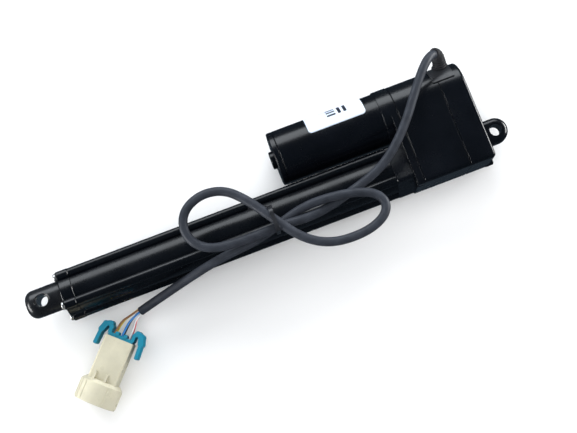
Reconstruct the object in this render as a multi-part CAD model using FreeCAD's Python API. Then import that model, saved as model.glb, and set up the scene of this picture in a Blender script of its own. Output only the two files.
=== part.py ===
import FreeCAD, Part
import math
import os

# Linear actuator with a parallel motor.  Millimetres.
# Origin: centre of the rear eye bore.  +X runs along the screw axis towards the
# rod end, +Z is the normal of the broad gearbox face, the motor sits at -Y.

V = FreeCAD.Vector
X_AXIS = V(1, 0, 0)
Z_AXIS = V(0, 0, 1)

# ---------------------------------------------------------------- main sizes
PIN_BORE_R = 4.1            # both pin bores take an 8 mm pin
PIN_BEVEL = 2.0
SCREW_LEAD = 4.0

# stations along the screw axis
REAR_FACE_X = 8.7
COVER_SEAM_X = 26.9
FLANGE_SEAM_X = 60.4
FLANGE_FACE_X = 65.7
MOTOR_RING_X = 71.3
NOSE_END_X = 77.9
TUBE_END_X = 309.8
CAP_END_X = 319.0
ROD_PIN_X = 333.0
ROD_END_X = 345.4

# gearbox section
GEARBOX_HALF_H = 19.7
GEARBOX_NEAR_Y = 18.9
GEARBOX_EDGE_R = 3.0
GEARBOX_WALL = 2.4
REAR_EDGE_R = 2.4
SEAM_CHAMFER = 0.45

# motor
MOTOR_Y = -36.0
MOTOR_R = 19.2
MOTOR_WALL = 1.2
MOTOR_BODY_END_X = 146.0
MOTOR_END_X = 150.0
MOTOR_BOSS_R = 6.3
MOTOR_BOSS_END_X = 152.8
MOTOR_RING_R = 20.0

# tube section, turned and set off from the screw axis
TUBE_TURN = 16.3
TUBE_OFFSET = 2.3
LOBE_OFFSET = 10.9
LOBE_R = 3.3
TUBE_BODY_R = 14.1
TUBE_BORE_R = 10.6
CAP_GROWTH = 0.25

# rod, nut and screw
ROD_R = 10.0
ROD_EDGE_R = 6.4
ROD_BORE_R = 7.2
ROD_BORE_END_X = 314.0
ROD_TAIL_X = 96.0
NUT_REAR_X = 82.0
NUT_COLLAR_R = 10.54
NUT_TAIL_LEN = 14.0
SCREW_R = 6.0
SCREW_ROOT_R = 4.9
SCREW_THREAD_X = 78.5
SCREW_THREAD_END_X = 308.5
JOURNAL_R = 5.0

# gear train
PINION_TEETH = 12
WHEEL_TEETH = 28
FAST_MODULE = 0.8
SMALL_TEETH = 14
OUTPUT_TEETH = 26
SLOW_MODULE = 1.0
PRESSURE_ANGLE = 25.0
BACKLASH = 0.16
IDLER_Y = -20.0
FAST_X = (47.0, 55.0)
SLOW_X = (31.0, 43.0)

# cap and its screws
CAP_SCREW_R = 1.5
CAP_SCREW_HEAD_R = 2.8
CAP_SCREW_HEAD_H = 1.7
CAP_SCREW_LEN = 24.0
CAP_BORE_R = 10.35
WIPER_X = 313.2
WIPER_END_X = 317.4
WIPER_R = 12.0

# switch channel along the near side of the tube
CHANNEL_DEPTH_Y = 11.6
CHANNEL_HALF_Z = 4.2
BOARD_FACE_Y = 10.4
SWITCH_FACE_Y = 8.7

# bearings
BEARING_R = 9.5
BEARING_W = 5.0
REAR_BEARING_X = REAR_FACE_X + 4.2
FRONT_BEARING_X = FLANGE_SEAM_X + 1.6

# castings
HOUSING_SCREWS = ((16.1, 12.4), (16.1, -14.4), (-15.2, 16.0), (-15.2, -16.0))
HOUSING_SCREW_R = 1.5
HOUSING_HEAD_R = 2.7
HOUSING_HEAD_H = 3.4
HOUSING_HEAD_X = FLANGE_FACE_X - 0.6
SCREW_BOSS_R = 3.4
EYE_R = 9.0
EYE_HALF_T = 6.5
EYE_ROUND = 4.3
COVER_BOSS_H = 2.6
NOSE_HALF = 14.2
TUBE_SCREW_HEAD_R = 2.4

# motor inner parts and label
MOTOR_FRONT_X = 66.0
MAGNET_R = 14.6
LABEL_X = (80.4, 122.2)
LABEL_THICK = 0.12
LABEL_LOW_DEG = -22.0
LABEL_TOP_DEG = 75.6
LABEL_CORNER_R = 2.5

# wire outlet and strain relief
OUTLET_X0 = 14.6
OUTLET_X1 = 30.4
OUTLET_TOP_DEG = 68.0
OUTLET_LOW_DEG = -24.0
OUTLET_R = 20.7
RELIEF_BASE = V(19.9, -54.0, 9.5)
RELIEF_ELEV = 42.0
RELIEF_BASE_R = 5.0
RELIEF_TIP_R = 4.3
RELIEF_FOOT = -4.5
RELIEF_NECK = 0.9
RELIEF_TOP = 8.0
RELIEF_WRAP_DEG = 62.0
RELIEF_RIBS = 8
RELIEF_RIB_T = 0.9

# cord: diameter and the corners of its route, rounded by tangent arcs
CORD_D = 6.2
CORD_CORNERS = (
    (29.5, -59.5, 26.5), (42, -45.5, 27.6), (61.5, -20, 27), (83.5, -1, 25.6), (109, 7.2, 23.7),
    (139, 14.4, 25), (163, 12.8, 30.4), (192, 14, 30.6), (215, 11, 30.6), (225.5, -2, 31),
    (222.5, -17.5, 32), (208, -25.3, 33), (191, -23, 34.2), (178.5, -10.8, 35.8), (165.5, 9, 37.8),
    (152.5, 27, 35.6), (135.5, 37, 34), (113, 38, 32.8), (97.5, 33, 31.8), (91.5, 24.7, 31.2),
    (95, 16, 30.9), (105.5, 10.6, 30.8), (122, 7, 30.6), (146, 5.2, 24.2), (178, 15.8, 23.9),
    (208.5, 18, 22.5), (243, 23, 5), (274, 29, -8),
)
WIRE_D = 1.4
WIRE_RING_R = 1.95
WIRE_COLOURS = ("brown", "yellow", "blue", "black", "white", "red")

# cable tie round the crossing strands
TIE_X = 166.0
TIE_Y = 8.6
TIE_Z = (20.4, 41.4)
TIE_HALF_Y = 7.6
TIE_WIDTH = 2.6
TIE_THICK = 1.1
TIE_HEAD_Z = (28.4, 32.4)
TIE_TAIL_LEN = 14.5
TIE_TAIL_TURN = -18.0

# connector, laid out along its own axis and then turned into place
CONNECTOR_AT = V(293.0, 43.0, -4.5)
CONNECTOR_TURN = 47.3
SHELL_HALF_V = 10.2
SHELL_HALF_W = 8.6
COLLAR_R = 14.6
SOCKET_R = 12.8
LATCH_U = (25.2, 32.4)
LATCH_V = (-6.4, 3.4)
LATCH_TOP_W = 12.6
LATCH_BAR = 1.6
COLLAR_START = 30.5
SOCKET_FLOOR = 34.0
CONNECTOR_LEN = 47.0
CAVITY_V = (-6.0, 0.0, 6.0)
CAVITY_W = (3.2, -3.2)
CLIP_HALF_W = 6.2
CLIP_ARM = (
    (-1.3, 8.4, 1.2), (-5.8, 8.5, 1.4), (-8.0, 10.2, 1.8),
    (-6.6, 13.0, 2.1), (-2.0, 14.6, 1.9), (7.8, 15.2, 1.2),
)


# ---------------------------------------------------------------- helpers
def save(name, shape):
    """Write one piece, or one group of pieces, under its plain name."""
    shape.exportStep(os.path.join("parts", name + ".step"))
    solids = shape.Solids
    print(name, "solids", len(solids), "volume", round(sum(s.Volume for s in solids), 1), shape.isValid())


def rod_x(x0, x1, radius, y=0.0, z=0.0):
    """Round bar along X."""
    return Part.makeCylinder(radius, x1 - x0, V(x0, y, z), X_AXIS)


def tube_x(x0, x1, outer, inner, y=0.0, z=0.0):
    """Ring or pipe along X."""
    return rod_x(x0, x1, outer, y, z).cut(rod_x(x0, x1, inner, y, z))


def box(x0, x1, y0, y1, z0, z1):
    """Block between two corners."""
    return Part.makeBox(x1 - x0, y1 - y0, z1 - z0, V(x0, y0, z0))


def prism(points, x0, x1):
    """Straight block along X with a closed outline given as (y, z) corners."""
    corners = [V(x0, y, z) for y, z in points]
    face = Part.Face(Part.makePolygon(corners + [corners[0]]))
    return face.extrude(V(x1 - x0, 0, 0))


def hexagon(y, z, radius):
    """Corners of a six-sided socket, as (y, z) pairs."""
    corners = []
    for degrees in range(0, 360, 60):
        angle = math.radians(degrees)
        corners.append((y + radius * math.cos(angle), z + radius * math.sin(angle)))
    return corners


def long_edges_of(shape):
    """Edges that run along X."""
    return [edge for edge in shape.Edges if edge.BoundBox.XMax - edge.BoundBox.XMin > 1.0]


def edges_at_x(shape, x):
    """Edges that lie wholly in the plane X = x."""
    found = []
    for edge in shape.Edges:
        bounds = edge.BoundBox
        if abs(bounds.XMin - x) < 1e-4 and abs(bounds.XMax - x) < 1e-4:
            found.append(edge)
    return found


def round_at_x(shape, x, radius):
    """Round the outline in the plane X = x."""
    return shape.makeFillet(radius, edges_at_x(shape, x))


def chamfer_at_x(shape, x, size):
    """Bevel the outline in the plane X = x."""
    return shape.makeChamfer(size, edges_at_x(shape, x))


def fuse_all(shapes):
    """Join touching pieces into one clean solid."""
    first = shapes[0]
    if len(shapes) == 1:
        return first
    return first.multiFuse(shapes[1:]).removeSplitter()


# ---------------------------------------------------------------- tube section
def tube_point(y, z):
    """Point of the tube's own square layout, in the main frame."""
    turn = math.radians(TUBE_TURN)
    y_own = y + TUBE_OFFSET
    return (y_own * math.cos(turn) - z * math.sin(turn), y_own * math.sin(turn) + z * math.cos(turn))


LOBES = [tube_point(sy * LOBE_OFFSET, sz * LOBE_OFFSET) for sy, sz in ((1, 1), (-1, 1), (-1, -1), (1, -1))]
TUBE_CENTRE = tube_point(0, 0)


def tube_outline(x0, x1, growth=0.0):
    """Round body with four screw lobes, as one solid block."""
    body = rod_x(x0, x1, TUBE_BODY_R + growth, *TUBE_CENTRE)
    lobes = [rod_x(x0, x1, LOBE_R + growth, y, z) for y, z in LOBES]
    return fuse_all([body] + lobes)


def own_prism(y0, y1, z0, z1, x0, x1):
    """Block given in the tube's own square layout."""
    corners = [tube_point(y0, z0), tube_point(y1, z0), tube_point(y1, z1), tube_point(y0, z1)]
    return prism(corners, x0, x1)


# ---------------------------------------------------------------- tube, cap, screws
def outer_tube():
    """Extruded tube: off-centre bore, switch channel and four screw holes."""
    shape = tube_outline(NOSE_END_X, TUBE_END_X)
    shape = shape.cut(rod_x(NOSE_END_X, TUBE_END_X, TUBE_BORE_R))
    channel = own_prism(5.0, CHANNEL_DEPTH_Y, -CHANNEL_HALF_Z, CHANNEL_HALF_Z, NOSE_END_X, TUBE_END_X)
    shape = shape.cut(channel)
    for y, z in LOBES:
        shape = shape.cut(rod_x(NOSE_END_X, TUBE_END_X, CAP_SCREW_R, y, z))
    return shape


def front_cap():
    """End cap that carries the wiper and closes the switch channel."""
    shape = tube_outline(TUBE_END_X, CAP_END_X, CAP_GROWTH)
    shape = round_at_x(shape, CAP_END_X, 1.2)
    shape = chamfer_at_x(shape, TUBE_END_X, SEAM_CHAMFER)
    shape = shape.cut(rod_x(TUBE_END_X, CAP_END_X, CAP_BORE_R))
    shape = shape.cut(rod_x(WIPER_X, WIPER_END_X, WIPER_R))
    for y, z in LOBES:
        shape = shape.cut(rod_x(TUBE_END_X, CAP_END_X, CAP_SCREW_R, y, z))
    return shape


def rod_wiper():
    """Rubber lip ring held in the groove of the cap."""
    ring = tube_x(WIPER_X, WIPER_END_X, WIPER_R, ROD_R + 0.03)
    lips = []
    for edge in ring.Edges:
        bounds = edge.BoundBox
        if bounds.XMax - bounds.XMin < 1e-6 and bounds.YMax < ROD_R + 0.5:
            lips.append(edge)
    return ring.makeChamfer(0.35, lips)


def cap_screw(y, z):
    """Socket button screw, head proud of the cap, shank running into the tube."""
    head = rod_x(CAP_END_X, CAP_END_X + CAP_SCREW_HEAD_H, CAP_SCREW_HEAD_R, y, z)
    head = head.makeFillet(0.9, edges_at_x(head, CAP_END_X + CAP_SCREW_HEAD_H))
    head = head.cut(prism(hexagon(y, z, 1.0), CAP_END_X + 0.5, CAP_END_X + 3))
    shank = rod_x(CAP_END_X - CAP_SCREW_LEN, CAP_END_X, CAP_SCREW_R, y, z)
    return fuse_all([shank, head])


def guide_bush():
    """Plain bearing pressed in the front of the tube bore."""
    bush = tube_x(TUBE_END_X - 12.0, TUBE_END_X, TUBE_BORE_R, ROD_R + 0.05)
    return bush


# ---------------------------------------------------------------- limit switches
def limit_board():
    """Strip board lying on the floor of the switch channel."""
    return own_prism(BOARD_FACE_Y, CHANNEL_DEPTH_Y, -3.9, 3.9, 79.0, 306.0)


def limit_switches():
    """Two small end-of-stroke switches on the board."""
    bodies = []
    for x in (90.0, 286.0):
        body = own_prism(SWITCH_FACE_Y + 0.6, BOARD_FACE_Y, -3.2, 3.2, x, x + 8.0)
        button = own_prism(SWITCH_FACE_Y, SWITCH_FACE_Y + 0.6, -0.9, 0.9, x + 3.0, x + 5.0)
        bodies.append(fuse_all([body, button]))
    return Part.makeCompound(bodies)


# ---------------------------------------------------------------- rod, nut, screw
def piston_rod():
    """Rod with a rounded cross-drilled nose, hollow behind for the screw."""
    shape = rod_x(ROD_TAIL_X, ROD_END_X, ROD_R)
    shape = shape.makeFillet(ROD_EDGE_R, edges_at_x(shape, ROD_END_X))
    shape = shape.cut(rod_x(ROD_TAIL_X, ROD_BORE_END_X, ROD_BORE_R))
    shape = shape.cut(rod_x(ROD_TAIL_X, ROD_TAIL_X + NUT_TAIL_LEN, ROD_BORE_R + 0.9))
    pin = Part.makeCylinder(PIN_BORE_R, 40, V(ROD_PIN_X, 0, -20), Z_AXIS)
    shape = shape.cut(pin)
    for sign in (1, -1):
        cone = Part.makeCone(PIN_BORE_R, PIN_BORE_R + 4.0, 4.0,
                             V(ROD_PIN_X, 0, sign * (ROD_R - 1.65)), V(0, 0, sign))
        shape = shape.cut(cone)
    return shape


def drive_nut():
    """Nut: sliding collar in the tube bore, tail fixed in the rod."""
    collar = rod_x(NUT_REAR_X, ROD_TAIL_X, NUT_COLLAR_R)
    collar = chamfer_at_x(collar, NUT_REAR_X, 0.8)
    tail = rod_x(ROD_TAIL_X, ROD_TAIL_X + NUT_TAIL_LEN, ROD_BORE_R + 0.9)
    shape = fuse_all([collar, tail])
    return shape.cut(rod_x(NUT_REAR_X, ROD_TAIL_X + NUT_TAIL_LEN, SCREW_R + 0.08))


def lead_screw():
    """Screw: rear journal, gear seat, front journal with thrust collar, thread, guide tip."""
    pieces = [
        rod_x(REAR_BEARING_X + 0.4, FRONT_BEARING_X + BEARING_W, JOURNAL_R),
        rod_x(FRONT_BEARING_X + BEARING_W, FLANGE_FACE_X + 4.3, 6.4),
        rod_x(FLANGE_FACE_X + 4.3, SCREW_THREAD_X, JOURNAL_R),
        rod_x(SCREW_THREAD_X, SCREW_THREAD_END_X, SCREW_ROOT_R),
        rod_x(SCREW_THREAD_END_X, SCREW_THREAD_END_X + 3.5, SCREW_ROOT_R - 0.4),
    ]
    shape = fuse_all(pieces)
    pitch = SCREW_LEAD
    count = int((SCREW_THREAD_END_X - SCREW_THREAD_X) / pitch)
    ridges = []
    for i in range(count):
        x = SCREW_THREAD_X + i * pitch + 0.6
        profile = [V(x, 0, SCREW_ROOT_R - 0.3), V(x + 2.6, 0, SCREW_ROOT_R - 0.3),
                   V(x + 2.6, 0, SCREW_ROOT_R), V(x + 2.0, 0, SCREW_R), V(x + 0.6, 0, SCREW_R),
                   V(x, 0, SCREW_ROOT_R)]
        face = Part.Face(Part.makePolygon(profile + [profile[0]]))
        ridges.append(face.revolve(V(0, 0, 0), X_AXIS, 360))
    return shape.multiFuse(ridges)


def bearing(x0):
    """Shielded ball bearing drawn as one ring with grooved faces."""
    x1 = x0 + BEARING_W
    ring = tube_x(x0, x1, BEARING_R, JOURNAL_R + 0.03)
    for x in (x0, x1 - 0.4):
        ring = ring.cut(tube_x(x, x + 0.4, BEARING_R - 1.3, JOURNAL_R + 1.2))
    return ring


# ---------------------------------------------------------------- gears
def gear_outline(teeth, module, phase, tooth_trim):
    """Closed (y, z) outline of a spur gear, involute flanks between root and tip circles."""
    pressure = math.radians(PRESSURE_ANGLE)
    pitch_r = 0.5 * teeth * module
    base_r = pitch_r * math.cos(pressure)
    tip_r = pitch_r + 0.85 * module
    root_r = pitch_r - 1.15 * module
    inv_pitch = math.tan(pressure) - pressure
    half_pitch_angle = math.pi / (2 * teeth) - tooth_trim / (2 * pitch_r)
    points = []
    start_r = max(base_r, root_r)
    for i in range(teeth):
        centre = phase + 2 * math.pi * i / teeth
        flank = []
        for k in range(5):
            r = start_r + (tip_r - start_r) * k / 4.0
            alpha = math.acos(min(1.0, base_r / r))
            half = half_pitch_angle + inv_pitch - (math.tan(alpha) - alpha)
            flank.append((r, half))
        half_root = flank[0][1]
        side = [(root_r, half_root)] if root_r < start_r - 1e-6 else []
        left = [(r, centre - h) for r, h in side + flank]
        right = [(r, centre + h) for r, h in reversed(side + flank)]
        for r, angle in left + right:
            points.append((r * math.cos(angle), r * math.sin(angle)))
    return points


def gear(teeth, module, x0, x1, y, phase):
    """Spur gear blank with teeth, axis along X."""
    outline = gear_outline(teeth, module, phase, BACKLASH)
    return prism([(y + a, b) for a, b in outline], x0, x1)


def output_gear():
    """Last wheel of the train, keyed on the screw."""
    phase = math.pi + math.pi / OUTPUT_TEETH
    shape = gear(OUTPUT_TEETH, SLOW_MODULE, SLOW_X[0] + 1.0, SLOW_X[1] - 1.0, 0.0, phase)
    hub = rod_x(SLOW_X[0] - 2.0, SLOW_X[1] - 1.0, 8.0)
    shape = fuse_all([shape, hub])
    for i in range(6):
        angle = math.pi * i / 3
        shape = shape.cut(rod_x(SLOW_X[0], SLOW_X[1], 1.3, 9.9 * math.cos(angle), 9.9 * math.sin(angle)))
    return shape.cut(rod_x(SLOW_X[0] - 3.0, SLOW_X[1] + 1.0, JOURNAL_R))


def idler_gear():
    """Double wheel that steps the motor speed down."""
    big = gear(WHEEL_TEETH, FAST_MODULE, FAST_X[0] + 0.5, FAST_X[1] - 0.5, IDLER_Y, math.pi)
    small = gear(SMALL_TEETH, SLOW_MODULE, SLOW_X[0], FAST_X[0] + 0.5, IDLER_Y, 0.0)
    shape = fuse_all([big, small])
    return shape.cut(rod_x(SLOW_X[0] - 1.0, FAST_X[1] + 1.0, 2.03, IDLER_Y))


def idler_shaft():
    """Fixed pin the double wheel turns on."""
    return rod_x(REAR_FACE_X + 6.0, FLANGE_SEAM_X + 3.0, 2.0, IDLER_Y)


def motor_pinion():
    """Small gear pressed on the motor shaft."""
    phase = math.pi / PINION_TEETH
    shape = gear(PINION_TEETH, FAST_MODULE, FAST_X[0], FAST_X[1], MOTOR_Y, phase)
    return shape.cut(rod_x(FAST_X[0], FAST_X[1], 1.6, MOTOR_Y))


# ---------------------------------------------------------------- gearbox castings
def gearbox_block(x0, x1, inset=0.0):
    """Broad box that ends in a half round about the motor axis."""
    half = GEARBOX_HALF_H - inset
    near = box(x0, x1, MOTOR_Y, GEARBOX_NEAR_Y - inset, -half, half)
    corners = []
    for edge in near.Edges:
        bounds = edge.BoundBox
        if bounds.XMax - bounds.XMin > 1.0 and bounds.YMin > GEARBOX_NEAR_Y - inset - 1e-4:
            corners.append(edge)
    near = near.makeFillet(max(0.8, GEARBOX_EDGE_R - inset), corners)
    return fuse_all([near, rod_x(x0, x1, half, MOTOR_Y)])


def sector(x0, x1, inner, outer, low_deg, top_deg):
    """Piece of a ring about the motor axis; angles rise from -Y towards +Z."""
    ring = tube_x(x0, x1, outer, inner, MOTOR_Y)
    reach = outer * 3.0
    points = [(MOTOR_Y, 0.0)]
    steps = 4
    for i in range(steps + 1):
        angle = math.radians(low_deg + (top_deg - low_deg) * i / steps)
        points.append((MOTOR_Y - reach * math.cos(angle), reach * math.sin(angle)))
    return ring.common(prism(points, x0, x1))


def outlet_window():
    """Opening across the cover seam that receives the wire outlet."""
    return sector(OUTLET_X0, OUTLET_X1, GEARBOX_HALF_H - GEARBOX_WALL - 2.0, OUTLET_R + 4.0,
                  OUTLET_LOW_DEG, OUTLET_TOP_DEG)


def screw_bosses(x0, x1):
    """Columns inside the castings round the long screws."""
    columns = [rod_x(x0, x1, SCREW_BOSS_R, y, z) for y, z in HOUSING_SCREWS]
    block = gearbox_block(x0, x1, 0.6)
    return [column.common(block) for column in columns]


def rear_cover():
    """Cast cover with the rear eye, bearing seat and idler pin seat."""
    shell = gearbox_block(REAR_FACE_X, COVER_SEAM_X)
    shell = round_at_x(shell, REAR_FACE_X, REAR_EDGE_R)
    shell = chamfer_at_x(shell, COVER_SEAM_X, SEAM_CHAMFER)
    floor_x = REAR_FACE_X + 3.4
    shell = shell.cut(gearbox_block(floor_x, COVER_SEAM_X, GEARBOX_WALL))
    seat = rod_x(floor_x, REAR_BEARING_X + BEARING_W, 12.0)
    pin_seat = rod_x(floor_x, SLOW_X[0] - 5.0, 4.5, IDLER_Y)
    shape = fuse_all([shell, seat, pin_seat] + screw_bosses(floor_x, COVER_SEAM_X))
    lug = fuse_all([Part.makeCylinder(EYE_R, 2 * EYE_HALF_T, V(0, 0, -EYE_HALF_T), Z_AXIS),
                    box(0, REAR_FACE_X + 1.0, -EYE_R, EYE_R, -EYE_HALF_T, EYE_HALF_T)])
    rims = []
    for edge in lug.Edges:
        bounds = edge.BoundBox
        flat = bounds.ZMax - bounds.ZMin < 1e-4
        if flat and bounds.XMin < REAR_FACE_X:
            rims.append(edge)
    lug = lug.makeFillet(EYE_ROUND, rims)
    y, z = HOUSING_SCREWS[1]
    boss = rod_x(REAR_FACE_X - COVER_BOSS_H, REAR_FACE_X + 3.4, SCREW_BOSS_R, y, z)
    boss = round_at_x(boss, REAR_FACE_X - COVER_BOSS_H, 1.2)
    shape = fuse_all([shape, lug, boss])
    shape = shape.cut(Part.makeCylinder(PIN_BORE_R, 30, V(0, 0, -15), Z_AXIS))
    for sign in (1, -1):
        shape = shape.cut(Part.makeCone(PIN_BORE_R, PIN_BORE_R + PIN_BEVEL, PIN_BEVEL,
                                        V(0, 0, sign * (EYE_HALF_T - 0.5)), V(0, 0, sign)))
    shape = shape.cut(rod_x(REAR_BEARING_X, REAR_BEARING_X + BEARING_W, BEARING_R))
    shape = shape.cut(rod_x(REAR_FACE_X + 6.0, COVER_SEAM_X, 2.0, IDLER_Y))
    for y, z in HOUSING_SCREWS:
        shape = shape.cut(rod_x(REAR_FACE_X + 5.0, COVER_SEAM_X, HOUSING_SCREW_R, y, z))
    return shape.cut(outlet_window())


def gear_housing():
    """Middle casting round the gear train."""
    shell = gearbox_block(COVER_SEAM_X, FLANGE_SEAM_X)
    shell = chamfer_at_x(shell, COVER_SEAM_X, SEAM_CHAMFER)
    shell = chamfer_at_x(shell, FLANGE_SEAM_X, SEAM_CHAMFER)
    shell = shell.cut(gearbox_block(COVER_SEAM_X, FLANGE_SEAM_X, GEARBOX_WALL))
    shape = fuse_all([shell] + screw_bosses(COVER_SEAM_X, FLANGE_SEAM_X))
    for y, z in HOUSING_SCREWS:
        shape = shape.cut(rod_x(COVER_SEAM_X, FLANGE_SEAM_X, HOUSING_SCREW_R, y, z))
    return shape.cut(outlet_window())


def nose_block():
    """Square neck that the tube butts against."""
    points = ((1, 1), (-1, 1), (-1, -1), (1, -1))
    corners = [tube_point(a * NOSE_HALF, b * NOSE_HALF) for a, b in points]
    square = prism(corners, FLANGE_FACE_X - 1.0, NOSE_END_X)
    square = square.makeFillet(2.2, long_edges_of(square))
    return chamfer_at_x(square, NOSE_END_X, SEAM_CHAMFER)


def front_housing():
    """Flange with the motor socket and the neck for the tube."""
    plate = gearbox_block(FLANGE_SEAM_X, FLANGE_FACE_X)
    plate = chamfer_at_x(plate, FLANGE_SEAM_X, SEAM_CHAMFER)
    plate = round_at_x(plate, FLANGE_FACE_X, 0.5)
    ring = rod_x(FLANGE_SEAM_X + 1.0, MOTOR_RING_X, MOTOR_RING_R, MOTOR_Y)
    ring = round_at_x(ring, MOTOR_RING_X, 0.5)
    shape = fuse_all([plate, ring, nose_block()])
    shape = shape.cut(rod_x(MOTOR_FRONT_X, MOTOR_RING_X, MOTOR_R, MOTOR_Y))
    shape = shape.cut(rod_x(FLANGE_SEAM_X, MOTOR_RING_X, 4.5, MOTOR_Y))
    shape = shape.cut(rod_x(FLANGE_SEAM_X, FRONT_BEARING_X + BEARING_W, BEARING_R))
    shape = shape.cut(rod_x(FRONT_BEARING_X + BEARING_W, NOSE_END_X, 7.2))
    shape = shape.cut(rod_x(FLANGE_SEAM_X, FLANGE_SEAM_X + 3.0, 2.0, IDLER_Y))
    head_x = HOUSING_HEAD_X - HOUSING_HEAD_H
    pocket_r = HOUSING_HEAD_R + 0.2
    for y, z in HOUSING_SCREWS:
        shape = shape.cut(rod_x(FLANGE_SEAM_X, FLANGE_FACE_X, HOUSING_SCREW_R, y, z))
        shape = shape.cut(rod_x(head_x, FLANGE_FACE_X + 4.0, pocket_r, y, z))
    for y, z in HOUSING_SCREWS[:2]:
        notch = box(head_x, FLANGE_FACE_X + 1.0, y, y + 6.0, z - pocket_r, z + pocket_r)
        shape = shape.cut(notch)
    for y, z in LOBES:
        shape = shape.cut(rod_x(FLANGE_SEAM_X, NOSE_END_X, CAP_SCREW_R, y, z))
        shape = shape.cut(rod_x(FLANGE_SEAM_X, FLANGE_SEAM_X + 3.0, TUBE_SCREW_HEAD_R, y, z))
    return shape


def housing_screws():
    """Long socket screws that clamp the three castings together."""
    screws = []
    for y, z in HOUSING_SCREWS:
        head = rod_x(HOUSING_HEAD_X - HOUSING_HEAD_H, HOUSING_HEAD_X, HOUSING_HEAD_R, y, z)
        head = head.makeFillet(0.4, edges_at_x(head, HOUSING_HEAD_X))
        head = head.cut(prism(hexagon(y, z, 1.4), HOUSING_HEAD_X - 1.6, HOUSING_HEAD_X + 1))
        shank = rod_x(REAR_FACE_X + 6.5, HOUSING_HEAD_X - HOUSING_HEAD_H, HOUSING_SCREW_R, y, z)
        screws.append(fuse_all([shank, head]))
    return Part.makeCompound(screws)


def tube_screws():
    """Hidden screws that draw the tube against the neck."""
    screws = []
    for y, z in LOBES:
        head = rod_x(FLANGE_SEAM_X + 0.2, FLANGE_SEAM_X + 3.0, TUBE_SCREW_HEAD_R, y, z)
        shank = rod_x(FLANGE_SEAM_X + 3.0, NOSE_END_X + 14.0, CAP_SCREW_R, y, z)
        screws.append(fuse_all([head, shank]))
    return Part.makeCompound(screws)


# ---------------------------------------------------------------- motor
def motor_can():
    """Drawn steel can, closed at the gearbox end."""
    shape = rod_x(MOTOR_FRONT_X, MOTOR_BODY_END_X, MOTOR_R, MOTOR_Y)
    shape = chamfer_at_x(shape, MOTOR_BODY_END_X, SEAM_CHAMFER)
    shape = shape.cut(rod_x(MOTOR_FRONT_X + 1.5, MOTOR_BODY_END_X, MOTOR_R - MOTOR_WALL, MOTOR_Y))
    return shape.cut(rod_x(MOTOR_FRONT_X, MOTOR_FRONT_X + 1.5, 4.0, MOTOR_Y))


def motor_end_cap():
    """Rear plate of the motor with its bearing boss."""
    plate = rod_x(MOTOR_BODY_END_X, MOTOR_END_X, MOTOR_R, MOTOR_Y)
    plate = round_at_x(plate, MOTOR_END_X, 1.0)
    plate = chamfer_at_x(plate, MOTOR_BODY_END_X, SEAM_CHAMFER)
    boss = rod_x(MOTOR_END_X, MOTOR_BOSS_END_X, MOTOR_BOSS_R, MOTOR_Y)
    boss = round_at_x(boss, MOTOR_BOSS_END_X, 0.6)
    spigot = rod_x(MOTOR_BODY_END_X - 2.0, MOTOR_BODY_END_X, MOTOR_R - MOTOR_WALL, MOTOR_Y)
    shape = fuse_all([plate, boss, spigot])
    return shape.cut(rod_x(MOTOR_BODY_END_X - 2.0, MOTOR_END_X, 4.0, MOTOR_Y))


def motor_bushes():
    """Sintered bushes at both ends of the motor shaft."""
    front = tube_x(MOTOR_FRONT_X, MOTOR_FRONT_X + 4.0, 4.0, 1.63, MOTOR_Y)
    rear = tube_x(MOTOR_BODY_END_X - 2.0, MOTOR_BODY_END_X + 3.0, 4.0, 1.63, MOTOR_Y)
    return Part.makeCompound([front, rear])


def motor_shaft():
    """Steel shaft through the motor and into the gearbox."""
    return rod_x(FAST_X[0], MOTOR_END_X - 1.5, 1.6, MOTOR_Y)


def armature_core():
    """Slotted rotor stack."""
    core = rod_x(82.0, 124.0, MAGNET_R - 0.6, MOTOR_Y)
    for i in range(5):
        angle = 2 * math.pi * i / 5
        y = MOTOR_Y + 10.0 * math.cos(angle)
        z = 10.0 * math.sin(angle)
        core = core.cut(rod_x(82.0, 124.0, 2.6, y, z))
        mouth = box(82.0, 124.0, 0.0, MAGNET_R, -0.8, 0.8)
        mouth.rotate(V(0, 0, 0), X_AXIS, math.degrees(angle))
        mouth.translate(V(0, MOTOR_Y, 0))
        core = core.cut(mouth.common(tube_x(82.0, 124.0, MAGNET_R + 1, 10.0, MOTOR_Y)))
    return core.cut(rod_x(82.0, 124.0, 1.6, MOTOR_Y))


def armature_windings():
    """Copper turns standing out at both ends of the stack."""
    ends = []
    for x0, x1 in ((76.0, 82.0), (124.0, 130.0)):
        ring = tube_x(x0, x1, 12.0, 5.0, MOTOR_Y)
        ends.append(ring.makeFillet(1.6, edges_at_x(ring, x0 if x0 < 100 else x1)))
    return Part.makeCompound(ends)


def commutator():
    """Copper collector behind the rotor."""
    return tube_x(131.0, 141.0, 5.0, 1.6, MOTOR_Y)


def motor_magnets():
    """Two arc magnets fixed inside the can."""
    ring = tube_x(78.0, 128.0, MOTOR_R - MOTOR_WALL, MAGNET_R, MOTOR_Y)
    arcs = []
    for side in (1, -1):
        low, high = sorted((3.5 * side, 30 * side))
        block = box(78.0, 128.0, MOTOR_Y - 30, MOTOR_Y + 30, low, high)
        arcs.append(ring.common(block))
    return Part.makeCompound(arcs)


def brush_plate():
    """Insulating plate that holds the brushes."""
    return tube_x(140.0, 143.0, MOTOR_R - MOTOR_WALL, 7.0, MOTOR_Y)


def motor_brushes():
    """Two carbon brushes bearing on the commutator."""
    brushes = []
    for side in (1, -1):
        z0 = 5.04 if side > 0 else -11.0
        brushes.append(box(135.0, 140.0, MOTOR_Y - 2.0, MOTOR_Y + 2.0, z0, z0 + 5.96))
    return Part.makeCompound(brushes)


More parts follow.
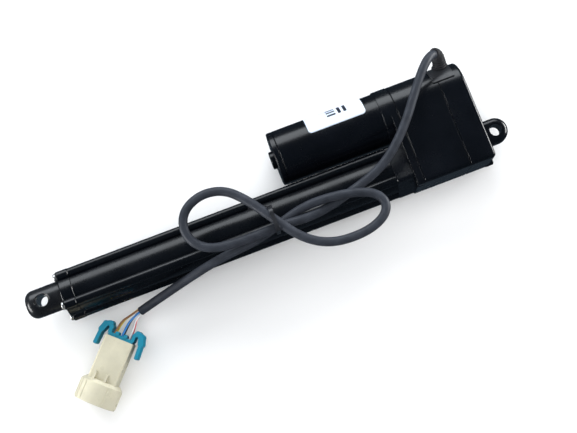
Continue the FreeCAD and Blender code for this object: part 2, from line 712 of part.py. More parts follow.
def label_corner(x_edge, side_x, angle_edge, side_a, radius):
    """Tool that rounds one corner of the wrapped label."""
    angle = angle_edge - side_a * math.degrees(radius / MOTOR_R)
    x0, x1 = sorted((0.0, side_x * (radius + 1.0)))
    y0, y1 = sorted((0.0, side_a * (radius + 1.0)))
    tool = box(x0, x1, y0, y1, MOTOR_R - 3.0, MOTOR_R + 3.0)
    tool = tool.cut(Part.makeCylinder(radius, 8.0, V(0, 0, MOTOR_R - 4.0), Z_AXIS))
    tool.rotate(V(0, 0, 0), X_AXIS, 90.0 - angle)
    tool.translate(V(x_edge - side_x * radius, MOTOR_Y, 0))
    return tool


def rating_label():
    """Thin plastic label wrapped on the can, corners rounded."""
    outer = MOTOR_R + LABEL_THICK
    patch = sector(LABEL_X[0], LABEL_X[1], MOTOR_R, outer, LABEL_LOW_DEG, LABEL_TOP_DEG)
    for x_edge, side_x in ((LABEL_X[0], -1), (LABEL_X[1], 1)):
        for angle_edge, side_a in ((LABEL_LOW_DEG, -1), (LABEL_TOP_DEG, 1)):
            patch = patch.cut(label_corner(x_edge, side_x, angle_edge, side_a, LABEL_CORNER_R))
    return patch


# ---------------------------------------------------------------- wire outlet
def relief_dir():
    """Direction the cord leaves the outlet in."""
    angle = math.radians(RELIEF_ELEV)
    return V(0, -math.cos(angle), math.sin(angle))


def relief_point(distance):
    """Point on the outlet axis; zero lies on the gearbox surface."""
    return RELIEF_BASE + relief_dir() * distance


def relief_bar(radius, start, end):
    """Round bar along the outlet axis."""
    return Part.makeCylinder(radius, end - start, relief_point(start), relief_dir())


def wire_outlet():
    """Insert that fills the window and carries a collar for the strain relief."""
    inner_r = GEARBOX_HALF_H - GEARBOX_WALL
    plug = sector(OUTLET_X0, OUTLET_X1, inner_r, OUTLET_R, OUTLET_LOW_DEG, OUTLET_TOP_DEG)
    keep = box(OUTLET_X0, OUTLET_X1, -80, 0, -30, 30)
    collar = relief_bar(RELIEF_BASE_R + 1.3, RELIEF_FOOT, RELIEF_NECK).common(keep)
    shape = fuse_all([plug, collar])
    return shape.cut(relief_bar(RELIEF_BASE_R, RELIEF_FOOT - 4.0, RELIEF_TOP))


def strain_relief():
    """Tapered rubber sleeve with ribs that bends over with the cord."""
    path, radii = rounded_path(cord_corners())
    arc = path.OrderedEdges[1]
    wrapped = math.radians(RELIEF_WRAP_DEG) * radii[0]
    bend_end = arc.getParameterByLength(wrapped)
    bend = arc.Curve.toShape(arc.FirstParameter, bend_end)
    line = Part.LineSegment(relief_point(RELIEF_FOOT), arc.valueAt(arc.FirstParameter)).toShape()
    spine = Part.Wire([line, bend])
    foot = Part.Wire(Part.makeCircle(RELIEF_TIP_R - 0.5, relief_point(RELIEF_FOOT), relief_dir()))
    pieces = [relief_bar(RELIEF_BASE_R, RELIEF_FOOT, RELIEF_NECK), spine.makePipeShell([foot], True, False)]
    reach = line.Length + bend.Length
    first = RELIEF_NECK - RELIEF_FOOT + 0.9
    step = (reach - 0.9 - first) / (RELIEF_RIBS - 1)
    for i in range(RELIEF_RIBS):
        at = first + i * step
        if at <= line.Length:
            centre = relief_point(RELIEF_FOOT + at)
            axis = relief_dir()
        else:
            turned = arc.getParameterByLength(at - line.Length)
            centre = arc.valueAt(turned)
            axis = arc.tangentAt(turned)
        radius = RELIEF_BASE_R + (RELIEF_TIP_R - RELIEF_BASE_R) * i / (RELIEF_RIBS - 1)
        rib = Part.makeCylinder(radius, RELIEF_RIB_T, centre - axis * (0.5 * RELIEF_RIB_T), axis)
        rims = [e for e in rib.Edges if e.Closed and e.Curve.TypeId == "Part::GeomCircle"]
        pieces.append(rib.makeFillet(0.25, rims))
    shape = fuse_all(pieces)
    shape = shape.cut(relief_bar(0.5 * CORD_D, RELIEF_FOOT - 4.0, 1.0))
    return shape.cut(tube_along(cord_corners(), CORD_D))


# ---------------------------------------------------------------- cord
def rounded_path(corners):
    """Straight runs joined by tangent arcs; returns the wire and the arc radii."""
    edges = []
    radii = []
    here = corners[0]
    for before, corner, after in zip(corners, corners[1:], corners[2:]):
        run_in = corner - before
        run_out = after - corner
        turn = run_in.getAngle(run_out)
        trim = 0.45 * min(run_in.Length, run_out.Length)
        way_in = V(run_in).normalize()
        way_out = V(run_out).normalize()
        arc_start = corner - way_in * trim
        arc_end = corner + way_out * trim
        radius = trim / math.tan(0.5 * turn)
        inward = (way_out - way_in).normalize()
        centre = corner + inward * math.hypot(radius, trim)
        middle = centre - inward * radius
        edges.append(Part.LineSegment(here, arc_start).toShape())
        edges.append(Part.Arc(arc_start, middle, arc_end).toShape())
        radii.append(radius)
        here = arc_end
    edges.append(Part.LineSegment(here, corners[-1]).toShape())
    return Part.Wire(edges), radii


def tube_along(corners, diameter):
    """Round tube swept along a rounded path."""
    path = rounded_path(corners)[0]
    start_dir = V(corners[1] - corners[0]).normalize()
    circle = Part.Wire(Part.makeCircle(0.5 * diameter, corners[0], start_dir))
    return path.makePipeShell([circle], True, False)


def cord_corners():
    """Route of the cord, from inside the strain relief to the cut end of the sheath."""
    inside = [relief_point(0.5), relief_point(RELIEF_TOP + 5.0)]
    return inside + [V(*corner) for corner in CORD_CORNERS]


def power_cord():
    """Round sheathed cord tied in a figure of eight on top of the tube."""
    solid = tube_along(cord_corners(), CORD_D)
    path, radii = rounded_path(cord_corners())
    section = math.pi * (0.5 * CORD_D) ** 2
    print("cord length", round(path.Length, 1), "radii", [round(r, 1) for r in radii])
    print("cord volume ratio", round(solid.Volume / (section * path.Length), 4))
    return solid


def tie_block(grow, corner_r):
    """Rounded block that fills the loop of the tie, grown by a margin."""
    z0, z1 = TIE_Z
    half_x = 0.5 * TIE_WIDTH
    half_y = TIE_HALF_Y + grow
    block = box(TIE_X - half_x, TIE_X + half_x, TIE_Y - half_y, TIE_Y + half_y, z0 - grow, z1 + grow)
    return block.makeFillet(corner_r, long_edges_of(block))


def cable_tie():
    """Strap round the three crossing strands, with its head and cut tail."""
    strap = tie_block(TIE_THICK, 5.1).cut(tie_block(0.0, 4.0))
    side_y = TIE_Y - TIE_HALF_Y
    low_z, high_z = TIE_HEAD_Z
    head = box(TIE_X - 2.2, TIE_X + 2.2, side_y - 3.4, side_y - 0.2, low_z, high_z)
    head = head.makeFillet(0.5, head.Edges)
    tail = box(0, TIE_TAIL_LEN, -1.2, 1.2, low_z + 1.6, low_z + 2.6)
    tail.rotate(V(0, 0, 0), Z_AXIS, TIE_TAIL_TURN)
    tail.translate(V(TIE_X, side_y - 1.9, 0))
    return fuse_all([strap, head, tail])


# ---------------------------------------------------------------- connector
def place(shape):
    """Turn a piece from the connector's own layout into the main frame."""
    shape.rotate(V(0, 0, 0), Z_AXIS, CONNECTOR_TURN)
    shape.translate(CONNECTOR_AT)
    return shape


def connector_point(u, v, w):
    """Point of the connector's own layout, in the main frame."""
    turn = math.radians(CONNECTOR_TURN)
    x = u * math.cos(turn) - v * math.sin(turn)
    y = u * math.sin(turn) + v * math.cos(turn)
    return CONNECTOR_AT + V(x, y, w)


def connector_latch():
    """Raised U on the shell where the mating half locks."""
    low_w = SHELL_HALF_W - 1.0
    bars = [box(LATCH_U[1] - LATCH_BAR, LATCH_U[1], LATCH_V[0], LATCH_V[1], low_w, LATCH_TOP_W)]
    for v in (LATCH_V[0], LATCH_V[1] - LATCH_BAR):
        bars.append(box(LATCH_U[0], LATCH_U[1], v, v + LATCH_BAR, low_w, LATCH_TOP_W))
    return fuse_all(bars)


def connector_housing():
    """Cream shell: rectangular body, round socket collar, latch and locating ribs."""
    body = box(0, SOCKET_FLOOR, -SHELL_HALF_V, SHELL_HALF_V, -SHELL_HALF_W, SHELL_HALF_W)
    body = body.makeFillet(1.4, long_edges_of(body))
    collar = rod_x(COLLAR_START, CONNECTOR_LEN, COLLAR_R)
    collar = chamfer_at_x(collar, COLLAR_START, 2.2)
    collar = round_at_x(collar, CONNECTOR_LEN, 0.6)
    pieces = [body, collar, connector_latch()]
    for degrees in (60, 128, 146, 164, 182, -2):
        angle = math.radians(degrees)
        y = COLLAR_R * math.cos(angle)
        z = COLLAR_R * math.sin(angle)
        pieces.append(rod_x(COLLAR_START + 3.0, CONNECTOR_LEN - 1.0, 0.45, y, z))
    shape = fuse_all(pieces)
    shape = shape.cut(rod_x(SOCKET_FLOOR, CONNECTOR_LEN, SOCKET_R))
    for v in CAVITY_V:
        for w in CAVITY_W:
            shape = shape.cut(rod_x(0, 26.0, 1.9, v, w))
            shape = shape.cut(rod_x(26.0, SOCKET_FLOOR, 0.8, v, w))
    return place(shape)


def connector_pins():
    """Six contact pins standing in the socket."""
    pins = []
    for v in CAVITY_V:
        for w in CAVITY_W:
            pin = rod_x(22.0, 39.5, 0.8, v, w)
            pins.append(chamfer_at_x(pin, 39.5, 0.3))
    return place(Part.makeCompound(pins))


def clip_shoulder(side):
    """One arm of the retainer: rises behind the shell, bends out and reaches forward."""
    corners = []
    for u, v, half_t in CLIP_ARM:
        corners.append((u, side * v, half_t))
    pieces = []
    for (u0, v0, t0), (u1, v1, t1) in zip(corners, corners[1:]):
        length = math.hypot(u1 - u0, v1 - v0)
        half_t = min(t0, t1)
        bar = box(0, length, -half_t, half_t, -CLIP_HALF_W, CLIP_HALF_W)
        bar.rotate(V(0, 0, 0), Z_AXIS, math.degrees(math.atan2(v1 - v0, u1 - u0)))
        bar.translate(V(u0, v0, 0))
        pieces.append(bar)
    for u, v, half_t in corners[1:]:
        pieces.append(Part.makeCylinder(half_t, 2 * CLIP_HALF_W, V(u, v, -CLIP_HALF_W), Z_AXIS))
    return pieces


def connector_clip():
    """Coloured retainer: back plate with wire slots and two shoulders that reach forward."""
    pieces = [box(-2.4, 0, -9.0, 9.0, -CLIP_HALF_W, CLIP_HALF_W)]
    for side in (1, -1):
        pieces += clip_shoulder(side)
    for v in (-3.0, 3.0):
        pieces.append(Part.makeCylinder(1.3, 9.0, V(-3.0, v, -2.0), Z_AXIS))
    shape = fuse_all(pieces)
    for v in CAVITY_V:
        for w in CAVITY_W:
            shape = shape.cut(rod_x(-6.0, 0, 1.0, v, w))
    return place(shape)


def core_wire(index):
    """One insulated core from the cut sheath to its cavity."""
    cavity_v = CAVITY_V[index // 2]
    cavity_w = CAVITY_W[index % 2]
    corners = cord_corners()
    end = corners[-1]
    along = V(end - corners[-2]).normalize()
    side = V(-math.sin(math.radians(CONNECTOR_TURN)), math.cos(math.radians(CONNECTOR_TURN)), 0)
    side = V(side - along * side.dot(along)).normalize()
    up = side.cross(along)
    if up.z < 0:
        up = up * -1
    angle = math.radians((150.0, 210.0, 90.0, 270.0, 30.0, 330.0)[index])
    start = end + side * (WIRE_RING_R * math.cos(angle)) + up * (WIRE_RING_R * math.sin(angle))
    bend = start + along * 6.0
    turn_in = connector_point(-9.0, cavity_v, cavity_w)
    finish = connector_point(16.0, cavity_v, cavity_w)
    return tube_along([start, bend, turn_in, finish], WIRE_D)


# ---------------------------------------------------------------- all pieces
def build():
    os.makedirs("parts", exist_ok=True)
    save("outer_tube", outer_tube())
    save("front_cap", front_cap())
    save("cap_screws", Part.makeCompound([cap_screw(y, z) for y, z in LOBES]))
    save("rod_wiper", rod_wiper())
    save("guide_bush", guide_bush())
    save("limit_board", limit_board())
    save("limit_switches", limit_switches())
    save("piston_rod", piston_rod())
    save("drive_nut", drive_nut())
    save("lead_screw", lead_screw())
    save("rear_bearing", bearing(REAR_BEARING_X))
    save("front_bearing", bearing(FRONT_BEARING_X))
    save("output_gear", output_gear())
    save("idler_gear", idler_gear())
    save("idler_shaft", idler_shaft())
    save("motor_pinion", motor_pinion())
    save("rear_cover", rear_cover())
    save("gear_housing", gear_housing())
    save("front_housing", front_housing())
    save("housing_screws", housing_screws())
    save("tube_screws", tube_screws())
    save("motor_can", motor_can())
    save("motor_end_cap", motor_end_cap())
    save("motor_bushes", motor_bushes())
    save("motor_shaft", motor_shaft())
    save("armature_core", armature_core())
    save("armature_windings", armature_windings())
    save("commutator", commutator())
    save("motor_magnets", motor_magnets())
    save("brush_plate", brush_plate())
    save("motor_brushes", motor_brushes())
    save("rating_label", rating_label())
    save("wire_outlet", wire_outlet())
    save("strain_relief", strain_relief())
    save("power_cord", power_cord())
    save("cable_tie", cable_tie())
    save("connector_housing", connector_housing())
    save("connector_pins", connector_pins())
    save("connector_clip", connector_clip())
    for index, colour in enumerate(WIRE_COLOURS):
        save("core_wire_" + colour, core_wire(index))


build()
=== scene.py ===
import math

import bpy
from mathutils import Matrix, Vector


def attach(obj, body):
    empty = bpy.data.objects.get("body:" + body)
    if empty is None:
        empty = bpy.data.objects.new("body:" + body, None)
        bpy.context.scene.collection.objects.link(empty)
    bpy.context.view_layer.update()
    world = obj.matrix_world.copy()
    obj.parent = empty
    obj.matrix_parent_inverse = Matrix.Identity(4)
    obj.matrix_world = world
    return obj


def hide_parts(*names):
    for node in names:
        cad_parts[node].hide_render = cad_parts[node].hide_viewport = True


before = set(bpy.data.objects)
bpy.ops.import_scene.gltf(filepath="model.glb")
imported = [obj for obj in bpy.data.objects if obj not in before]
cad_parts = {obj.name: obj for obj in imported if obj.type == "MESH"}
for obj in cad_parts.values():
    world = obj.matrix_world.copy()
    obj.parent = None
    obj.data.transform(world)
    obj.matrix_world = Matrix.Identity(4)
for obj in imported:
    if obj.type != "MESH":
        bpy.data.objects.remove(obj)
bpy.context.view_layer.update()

# Looks of the linear actuator.  Metres, in the part's own frame.
MM = 0.001

# the cord's route, the same corners as the part's source uses
RELIEF_BASE = Vector((19.9, -54.0, 9.5))
RELIEF_ELEV = math.radians(42.0)
RELIEF_TOP = 8.0
CORD_D = 6.2
CORD_CORNERS = (
    (29.5, -59.5, 26.5), (42, -45.5, 27.6), (61.5, -20, 27), (83.5, -1, 25.6), (109, 7.2, 23.7),
    (139, 14.4, 25), (163, 12.8, 30.4), (192, 14, 30.6), (215, 11, 30.6), (225.5, -2, 31),
    (222.5, -17.5, 32), (208, -25.3, 33), (191, -23, 34.2), (178.5, -10.8, 35.8), (165.5, 9, 37.8),
    (152.5, 27, 35.6), (135.5, 37, 34), (113, 38, 32.8), (97.5, 33, 31.8), (91.5, 24.7, 31.2),
    (95, 16, 30.9), (105.5, 10.6, 30.8), (122, 7, 30.6), (146, 5.2, 24.2), (178, 15.8, 23.9),
    (208.5, 18, 22.5), (243, 23, 5), (274, 29, -8),
)

# connector, wires and motor, as in the part
CONNECTOR_AT = Vector((293.0, 43.0, -4.5))
CONNECTOR_TURN = math.radians(47.3)
CAVITY_V = (-6.0, 0.0, 6.0)
CAVITY_W = (3.2, -3.2)
WIRE_D = 1.4
WIRE_RING_R = 1.95
WIRE_ANGLES = (150.0, 210.0, 90.0, 270.0, 30.0, 330.0)
WIRE_COLOURS = ("brown", "yellow", "blue", "black", "white", "red")
MOTOR_Y = -36.0
MOTOR_R = 19.2
LABEL_X = (80.4, 122.2)
LABEL_DEG = (-22.0, 75.6)
LABEL_THICK = 0.12
LABEL_CORNER_R = 2.5
ROD_PIN_X = 333.0
BARE_METAL_R = 4.3          # worn to bare metal within this radius of the pin bore
FLOOR_Z = -20.0
FLOOR_REACH = 4000.0
FLOOR_GAP = 0.2

# plain printed bars on the label: X range, range of degrees round the motor
LABEL_MARKS = (
    ((92.0, 94.2), (24.0, 52.0)),
    ((96.0, 98.2), (24.0, 52.0)),
    ((100.0, 106.4), (24.0, 30.0)),
    ((100.0, 106.4), (35.0, 41.0)),
    ((100.0, 106.4), (46.0, 52.0)),
)
MARK_THICK = 0.02
MARK_CORNER_R = 0.25


# ---------------------------------------------------------------- node helpers
class Paint:
    """A material under construction: its tree and a few shorthand steps."""

    def __init__(self, name, colour, roughness, metallic=0.0):
        self.material = bpy.data.materials.new(name)
        self.material.use_nodes = True
        self.tree = self.material.node_tree
        self.shader = self.tree.nodes["Principled BSDF"]
        self.shader.inputs["Base Color"].default_value = (*colour, 1.0)
        self.shader.inputs["Roughness"].default_value = roughness
        self.shader.inputs["Metallic"].default_value = metallic
        self.material.diffuse_color = (*colour, 1.0)
        self.coords = self.node("ShaderNodeTexCoord").outputs["Object"]

    def node(self, kind, **settings):
        made = self.tree.nodes.new(kind)
        for key, value in settings.items():
            setattr(made, key, value)
        return made

    def link(self, source, target):
        self.tree.links.new(source, target)

    def stretched(self, scale):
        """Object coordinates scaled per axis."""
        mapping = self.node("ShaderNodeMapping")
        self.link(self.coords, mapping.inputs["Vector"])
        mapping.inputs["Scale"].default_value = scale
        return mapping.outputs["Vector"]

    def noise(self, scale, detail=4.0, stretch=(1, 1, 1), roughness=0.55):
        """Noise over the object, scale in cells per metre."""
        texture = self.node("ShaderNodeTexNoise")
        self.link(self.stretched(stretch), texture.inputs["Vector"])
        texture.inputs["Scale"].default_value = scale
        texture.inputs["Detail"].default_value = detail
        texture.inputs["Roughness"].default_value = roughness
        return texture.outputs["Fac"]

    def ramp(self, fac, low, high, start=0.35, end=0.65):
        """Two grey or colour stops over a factor."""
        ramp = self.node("ShaderNodeValToRGB")
        self.link(fac, ramp.inputs["Fac"])
        first, last = ramp.color_ramp.elements
        first.position = start
        last.position = end
        first.color = (*low, 1.0)
        last.color = (*high, 1.0)
        return ramp.outputs["Color"]

    def vary_colour(self, fac, low, high, start=0.35, end=0.65):
        self.link(self.ramp(fac, low, high, start, end), self.shader.inputs["Base Color"])

    def vary_roughness(self, fac, low, high, start=0.35, end=0.65):
        grey = self.ramp(fac, (low,) * 3, (high,) * 3, start, end)
        self.link(grey, self.shader.inputs["Roughness"])

    def bump(self, fac, height_mm, strength=1.0):
        """Surface relief of a real height, stacked on any relief already there."""
        bump = self.node("ShaderNodeBump")
        bump.inputs["Distance"].default_value = height_mm * MM
        bump.inputs["Strength"].default_value = strength
        self.link(fac, bump.inputs["Height"])
        socket = self.shader.inputs["Normal"]
        if socket.links:
            self.link(socket.links[0].from_socket, bump.inputs["Normal"])
        self.link(bump.outputs["Normal"], socket)

    def coat(self, weight, roughness):
        self.shader.inputs["Coat Weight"].default_value = weight
        self.shader.inputs["Coat Roughness"].default_value = roughness


def black_paint(name, colour, low, high, peel_mm, coat=0.0, stretch=(1, 1, 1)):
    """Dark paint or anodising: faint tone clouds, uneven gloss, orange peel and handling marks."""
    paint = Paint(name, colour, low)
    clouds = paint.noise(45.0, 5.0)
    lighter = tuple(c * 1.9 + 0.0006 for c in colour)
    paint.vary_colour(clouds, colour, lighter, 0.3, 0.8)
    paint.vary_roughness(paint.noise(70.0, 6.0), low, high, 0.35, 0.75)
    paint.bump(paint.noise(900.0, 3.0, stretch), peel_mm, 0.2)
    paint.bump(paint.noise(90.0, 2.0), 0.03, 0.08)
    paint.shader.inputs["Specular IOR Level"].default_value = 0.42
    if coat:
        paint.coat(coat, 0.14)
    return paint.material


def rod_paint():
    """Dark rod finish, fine turning lines, bare metal worn round the pin hole."""
    colour = (0.006, 0.0065, 0.008)
    paint = Paint("rod_finish", colour, 0.28)
    split = paint.node("ShaderNodeSeparateXYZ")
    paint.link(paint.coords, split.inputs["Vector"])
    away = paint.node("ShaderNodeMath", operation="SUBTRACT")
    paint.link(split.outputs["X"], away.inputs[0])
    away.inputs[1].default_value = ROD_PIN_X * MM
    flat = paint.node("ShaderNodeCombineXYZ")
    paint.link(away.outputs[0], flat.inputs["X"])
    paint.link(split.outputs["Y"], flat.inputs["Y"])
    reach = paint.node("ShaderNodeVectorMath", operation="LENGTH")
    paint.link(flat.outputs["Vector"], reach.inputs[0])
    bare = paint.node("ShaderNodeMath", operation="LESS_THAN")
    paint.link(reach.outputs["Value"], bare.inputs[0])
    bare.inputs[1].default_value = BARE_METAL_R * MM
    tone = paint.node("ShaderNodeMix", data_type="RGBA")
    paint.link(bare.outputs[0], tone.inputs["Factor"])
    paint.link(paint.ramp(paint.noise(60.0, 5.0), colour, (0.014, 0.015, 0.017)), tone.inputs["A"])
    tone.inputs["B"].default_value = (0.55, 0.55, 0.54, 1.0)
    paint.link(tone.outputs["Result"], paint.shader.inputs["Base Color"])
    paint.link(bare.outputs[0], paint.shader.inputs["Metallic"])
    paint.vary_roughness(paint.noise(90.0, 6.0), 0.24, 0.31)
    paint.bump(paint.noise(260.0, 4.0, (8, 1, 1)), 0.004, 0.2)
    return paint.material


def steel(name, colour, low, high, stretch=(1, 6, 6)):
    """Bare steel with fine machining lines and dull patches."""
    paint = Paint(name, colour, low, metallic=1.0)
    darker = tuple(c * 0.72 for c in colour)
    paint.vary_colour(paint.noise(120.0, 5.0), darker, colour)
    paint.vary_roughness(paint.noise(200.0, 5.0), low, high)
    paint.bump(paint.noise(900.0, 3.0, stretch), 0.015, 0.4)
    return paint.material


def plastic(name, colour, low, high, grain=700.0, grain_mm=0.03, glow=0.0):
    """Moulded plastic: soft colour drift, fine grain, slight sink marks."""
    paint = Paint(name, colour, low)
    darker = tuple(c * 0.86 for c in colour)
    paint.vary_colour(paint.noise(80.0, 4.0), darker, colour)
    paint.vary_roughness(paint.noise(150.0, 4.0), low, high)
    paint.bump(paint.noise(grain, 3.0), grain_mm, 0.3)
    paint.bump(paint.noise(60.0, 1.0), 0.08, 0.15)
    if glow:
        paint.shader.inputs["Subsurface Weight"].default_value = glow
        paint.shader.inputs["Subsurface Radius"].default_value = (2.4 * MM, 2.0 * MM, 1.4 * MM)
        paint.shader.inputs["Subsurface Scale"].default_value = 1.0
    return paint.material


def sheath():
    """Soft PVC sheath: dark grey, matt, faintly mottled, with fine grain and soft lumps in its
    surface.
    """
    paint = Paint("cord_sheath", (0.016, 0.018, 0.022), 0.48)
    paint.vary_colour(paint.noise(130.0, 6.0), (0.018, 0.021, 0.028), (0.032, 0.037, 0.048), 0.3, 0.7)
    paint.vary_roughness(paint.noise(220.0, 5.0), 0.42, 0.6)
    paint.bump(paint.noise(1500.0, 3.0), 0.03, 0.35)
    paint.bump(paint.noise(90.0, 2.0), 0.12, 0.2)
    paint.shader.inputs["Specular IOR Level"].default_value = 0.28
    return paint.material


def label_film():
    """Printed film: pale blue-white, satin, faint handling haze."""
    paint = Paint("label_film", (0.78, 0.86, 0.95), 0.35)
    paint.vary_colour(paint.noise(35.0, 4.0), (0.52, 0.63, 0.80), (0.74, 0.80, 0.90), 0.3, 0.7)
    paint.vary_roughness(paint.noise(140.0, 5.0), 0.28, 0.45)
    paint.bump(paint.noise(500.0, 2.0), 0.01, 0.3)
    return paint.material


def ink():
    """Printed dark ink on the label, a little uneven."""
    paint = Paint("label_ink", (0.03, 0.04, 0.07), 0.4)
    paint.vary_colour(paint.noise(600.0, 4.0), (0.008, 0.010, 0.02), (0.03, 0.035, 0.05), 0.4, 0.75)
    paint.vary_roughness(paint.noise(300.0, 3.0), 0.35, 0.5)
    return paint.material


def floor_paint():
    """Plain pale paper under the object."""
    paint = Paint("floor_paper", (0.93, 0.93, 0.93), 0.9)
    paint.vary_colour(paint.noise(8.0, 2.0), (0.925, 0.925, 0.925), (0.935, 0.935, 0.935))
    paint.shader.inputs["Specular IOR Level"].default_value = 0.1
    return paint.material


# ---------------------------------------------------------------- CAD nodes get their materials
def dress(material, *nodes):
    """Give CAD nodes their finished material."""
    for name in nodes:
        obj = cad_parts[name]
        obj.data.materials.clear()
        obj.data.materials.append(material)


def dress_nodes():
    casting = black_paint(
        "casting_paint", (0.0011, 0.0016, 0.0028), 0.23, 0.30, peel_mm=0.015, coat=0.10)
    dress(casting, "rear_cover", "gear_housing", "front_housing", "front_cap")
    tube = black_paint(
        "tube_paint", (0.0010, 0.0015, 0.0025), 0.25, 0.32, peel_mm=0.004, stretch=(0.04, 1, 1))
    dress(tube, "outer_tube")
    motor = black_paint("motor_paint", (0.0008, 0.0012, 0.0023), 0.24, 0.30, peel_mm=0.006, coat=0.08)
    dress(motor, "motor_can", "motor_end_cap")
    dress(rod_paint(), "piston_rod")
    dress(steel("bright_steel", (0.80, 0.79, 0.77), 0.22, 0.38), "cap_screws")
    dark = steel("dark_steel", (0.30, 0.30, 0.31), 0.28, 0.45)
    dress(steel("screw_steel", (0.62, 0.62, 0.62), 0.3, 0.45), "housing_screws")
    dress(dark, "tube_screws", "idler_shaft", "motor_shaft", "lead_screw")
    dress(dark, "rear_bearing", "front_bearing", "armature_core", "motor_pinion")
    nylon = plastic("gear_nylon", (0.80, 0.78, 0.70), 0.4, 0.55)
    dress(nylon, "output_gear", "idler_gear", "drive_nut", "guide_bush")
    rubber = plastic("black_rubber", (0.022, 0.022, 0.025), 0.45, 0.6)
    dress(rubber, "rod_wiper", "strain_relief")
    black = plastic("black_plastic", (0.016, 0.017, 0.02), 0.26, 0.4)
    dress(black, "wire_outlet", "cable_tie", "brush_plate", "limit_switches")
    dress(plastic("board_green", (0.04, 0.2, 0.09), 0.3, 0.45), "limit_board")
    dress(steel("bush_bronze", (0.6, 0.42, 0.22), 0.3, 0.45), "motor_bushes")
    dress(steel("copper", (0.75, 0.38, 0.2), 0.25, 0.4), "armature_windings", "commutator")
    dress(plastic("magnet_ferrite", (0.06, 0.06, 0.07), 0.5, 0.7), "motor_magnets", "motor_brushes")
    cream = plastic("connector_cream", (0.58, 0.55, 0.42), 0.26, 0.40, 600.0, 0.02, glow=0.12)
    dress(cream, "connector_housing")
    dress(steel("contact_metal", (0.80, 0.68, 0.42), 0.2, 0.3), "connector_pins")
    dress(plastic("clip_teal", (0.0, 0.22, 0.34), 0.34, 0.46), "connector_clip")


# ---------------------------------------------------------------- curves
def tube_curve(name, points_mm, diameter_mm, material):
    """Round tube along a smooth curve through given control points."""
    data = bpy.data.curves.new(name, "CURVE")
    data.dimensions = "3D"
    data.resolution_u = 14
    data.bevel_resolution = 8
    data.bevel_depth = 0.5 * diameter_mm * MM
    data.use_fill_caps = True
    spline = data.splines.new("NURBS")
    spline.points.add(len(points_mm) - 1)
    for point, place in zip(spline.points, points_mm):
        point.co = (*(Vector(place) * MM), 1.0)
    spline.order_u = 3
    spline.use_endpoint_u = True
    data.materials.append(material)
    obj = bpy.data.objects.new(name, data)
    bpy.context.scene.collection.objects.link(obj)
    return obj


def relief_direction():
    return Vector((0.0, -math.cos(RELIEF_ELEV), math.sin(RELIEF_ELEV)))


def cord_points():
    way = relief_direction()
    inside = [RELIEF_BASE + way * 0.5, RELIEF_BASE + way * (RELIEF_TOP + 5.0)]
    return inside + [Vector(corner) for corner in CORD_CORNERS]


def connector_point(u, v, w):
    """Point of the connector's own layout, in the part's frame, millimetres."""
    c = math.cos(CONNECTOR_TURN)
    s = math.sin(CONNECTOR_TURN)
    return CONNECTOR_AT + Vector((u * c - v * s, u * s + v * c, w))


def wire_points(index):
    """A core's way from the cut sheath to its cavity."""
    corners = cord_points()
    end = corners[-1]
    along = (end - corners[-2]).normalized()
    side = Vector((-math.sin(CONNECTOR_TURN), math.cos(CONNECTOR_TURN), 0.0))
    side = (side - along * side.dot(along)).normalized()
    up = side.cross(along)
    if up.z < 0:
        up = -up
    angle = math.radians(WIRE_ANGLES[index])
    start = end + side * (WIRE_RING_R * math.cos(angle)) + up * (WIRE_RING_R * math.sin(angle))
    v = CAVITY_V[index // 2]
    w = CAVITY_W[index % 2]
    turn_in = connector_point(-9.0, v, w)
    finish = connector_point(16.0, v, w)
    return [start - along * 3.0, start + along * 6.0, turn_in, finish]


def make_cord():
    cord = tube_curve("sheathed_cord", cord_points(), CORD_D, sheath())
    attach(cord, "housing")
    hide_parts("power_cord")
    return cord


CORE_TONES = {
    "brown": (0.30, 0.15, 0.07), "yellow": (0.80, 0.62, 0.06), "blue": (0.05, 0.24, 0.62),
    "black": (0.03, 0.03, 0.035), "white": (0.85, 0.85, 0.84), "red": (0.62, 0.03, 0.05),
}


def make_wires():
    wires = []
    for index, colour in enumerate(WIRE_COLOURS):
        skin = plastic("core_" + colour, CORE_TONES[colour], 0.28, 0.42)
        wire = tube_curve("core_" + colour, wire_points(index), WIRE_D, skin)
        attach(wire, "housing")
        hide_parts("core_wire_" + colour)
        wires.append(wire)
    return wires


# ---------------------------------------------------------------- label
def motor_point(x, degrees, radius):
    """Point on a cylinder about the motor axis; angles rise from -Y towards +Z."""
    angle = math.radians(degrees)
    return Vector((x, MOTOR_Y - radius * math.cos(angle), radius * math.sin(angle))) * MM


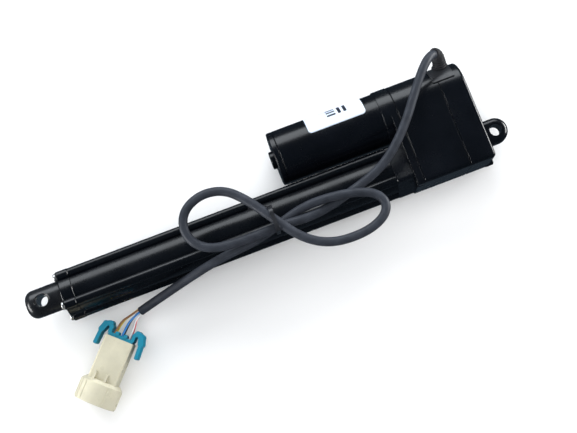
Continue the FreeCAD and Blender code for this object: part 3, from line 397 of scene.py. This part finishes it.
def wrapped_patch(name, x_range, deg_range, radius, thick, corner, material):
    """Thin film with rounded corners, wrapped on the motor can."""
    x0, x1 = x_range
    low, high = deg_range
    steps = [corner * (1 - math.cos(math.radians(15 * k))) for k in range(7)]
    inner = [x0 + corner + (x1 - x0 - 2 * corner) * k / 12 for k in range(1, 12)]
    stations = [x0 + s for s in steps] + inner + [x1 - s for s in reversed(steps)]
    rows = 24
    verts = []
    for x in stations:
        short = max(0.0, corner - min(x - x0, x1 - x))
        pull = corner - math.sqrt(max(0.0, corner ** 2 - short ** 2))
        pull = math.degrees(pull / radius)
        for k in range(rows + 1):
            degrees = low + pull + (high - low - 2 * pull) * k / rows
            verts.append(motor_point(x, degrees, radius + thick))
    top = len(verts)
    count = len(stations)
    centre = Vector((0, MOTOR_Y * MM, 0))
    for v in list(verts):
        out = Vector((0, v.y - centre.y, v.z)).normalized()
        verts.append(v - out * (thick * MM))
    faces = []
    for i in range(count - 1):
        for k in range(rows):
            a = i * (rows + 1) + k
            b = a + rows + 1
            faces.append((a, b, b + 1, a + 1))
            faces.append((top + a, top + a + 1, top + b + 1, top + b))
    edge = [k for k in range(rows + 1)]
    edge += [i * (rows + 1) + rows for i in range(1, count)]
    edge += [(count - 1) * (rows + 1) + k for k in range(rows - 1, -1, -1)]
    edge += [i * (rows + 1) for i in range(count - 2, 0, -1)]
    for a, b in zip(edge, edge[1:] + edge[:1]):
        faces.append((a, b, top + b, top + a))
    mesh = bpy.data.meshes.new(name)
    mesh.from_pydata([tuple(v) for v in verts], [], faces)
    mesh.update()
    mesh.materials.append(material)
    for polygon in mesh.polygons[: 2 * (count - 1) * rows]:
        polygon.use_smooth = True
    obj = bpy.data.objects.new(name, mesh)
    bpy.context.scene.collection.objects.link(obj)
    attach(obj, "housing")
    return obj


def make_label():
    label = wrapped_patch(
        "label_film", LABEL_X, LABEL_DEG, MOTOR_R, LABEL_THICK, LABEL_CORNER_R, label_film())
    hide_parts("rating_label")
    print_ink = ink()
    film_r = MOTOR_R + LABEL_THICK
    for number, (x_range, deg_range) in enumerate(LABEL_MARKS):
        name = f"label_mark_{number}"
        mark = wrapped_patch(name, x_range, deg_range, film_r, MARK_THICK, MARK_CORNER_R, print_ink)


# ---------------------------------------------------------------- stage, lights, camera
def make_floor():
    mesh = bpy.data.meshes.new("floor")
    reach = FLOOR_REACH * MM
    z = (FLOOR_Z - FLOOR_GAP) * MM
    corners = [(-reach, -reach, z), (reach, -reach, z), (reach, reach, z), (-reach, reach, z)]
    mesh.from_pydata(corners, [], [(0, 1, 2, 3)])
    mesh.materials.append(floor_paint())
    floor = bpy.data.objects.new("floor", mesh)
    bpy.context.scene.collection.objects.link(floor)
    floor.visible_glossy = False


AIM = Vector((0.17, 0.0, 0.0))      # all lights face the middle of the object

# name, place, size, power, colour, whether gloss may mirror it; in metres and watts
LIGHTS = (
    ("window", (0.20, -1.20, 0.60), (2.0, 0.8), 20.0, (0.90, 0.95, 1.0), True),
    ("window_fill", (0.20, -1.25, 0.70), (1.6, 0.5), 8.0, (1.0, 1.0, 1.0), False),
    ("strip_rod_end", (1.45, 0.15, 0.16), (0.9, 0.24), 15.0, (1.0, 1.0, 1.0), True),
    ("strip_gearbox_end", (-1.05, -0.05, 0.16), (0.9, 0.24), 18.0, (1.0, 1.0, 1.0), True),
    ("near_fill", (0.2, 1.3, 0.9), (1.6, 0.4), 5.0, (1.0, 0.995, 0.98), False),
    ("overhead", (0.17, 0.05, 1.7), (2.4, 2.4), 30.0, (1.0, 1.0, 1.0), False),
)
SKY_COLOUR = (0.55, 0.76, 1.0, 1.0)
SKY_STRENGTH = 0.07


def area_light(name, place, size, power, colour, mirrored):
    data = bpy.data.lights.new(name, "AREA")
    data.shape = "RECTANGLE"
    data.size = size[0]
    data.size_y = size[1]
    data.energy = power
    data.color = colour
    light = bpy.data.objects.new(name, data)
    light.location = place
    light.rotation_euler = (AIM - Vector(place)).to_track_quat("-Z", "Y").to_euler()
    light.visible_glossy = mirrored
    bpy.context.scene.collection.objects.link(light)


def make_lights():
    for light in LIGHTS:
        area_light(*light)
    world = bpy.data.worlds.new("studio")
    world.use_nodes = True
    background = world.node_tree.nodes["Background"]
    background.inputs["Color"].default_value = SKY_COLOUR
    background.inputs["Strength"].default_value = SKY_STRENGTH
    bpy.context.scene.world = world


CAMERA_AT = Vector((182.15, 128.66, 844.80))
CAMERA_AHEAD = Vector((-0.03268, -0.14591, -0.98876))
CAMERA_UP = Vector((-0.35317, -0.92378, 0.14799))
CAMERA_LENS = 76.97
CAMERA_SHIFT = (-0.0017, -0.0026)


def make_camera():
    data = bpy.data.cameras.new("camera")
    data.lens = CAMERA_LENS
    data.sensor_width = 36.0
    data.shift_x, data.shift_y = CAMERA_SHIFT
    data.clip_start = 0.01
    camera = bpy.data.objects.new("camera", data)
    back = -CAMERA_AHEAD.normalized()
    right = CAMERA_UP.cross(back).normalized()
    up = back.cross(right)
    turn = Matrix((right, up, back)).transposed().to_4x4()
    camera.matrix_world = Matrix.Translation(CAMERA_AT * MM) @ turn
    bpy.context.scene.collection.objects.link(camera)
    bpy.context.scene.camera = camera
    bpy.context.scene.view_settings.view_transform = "Standard"


make_camera()
cord = make_cord()
wires = make_wires()
dress_nodes()
make_label()
make_floor()
make_lights()
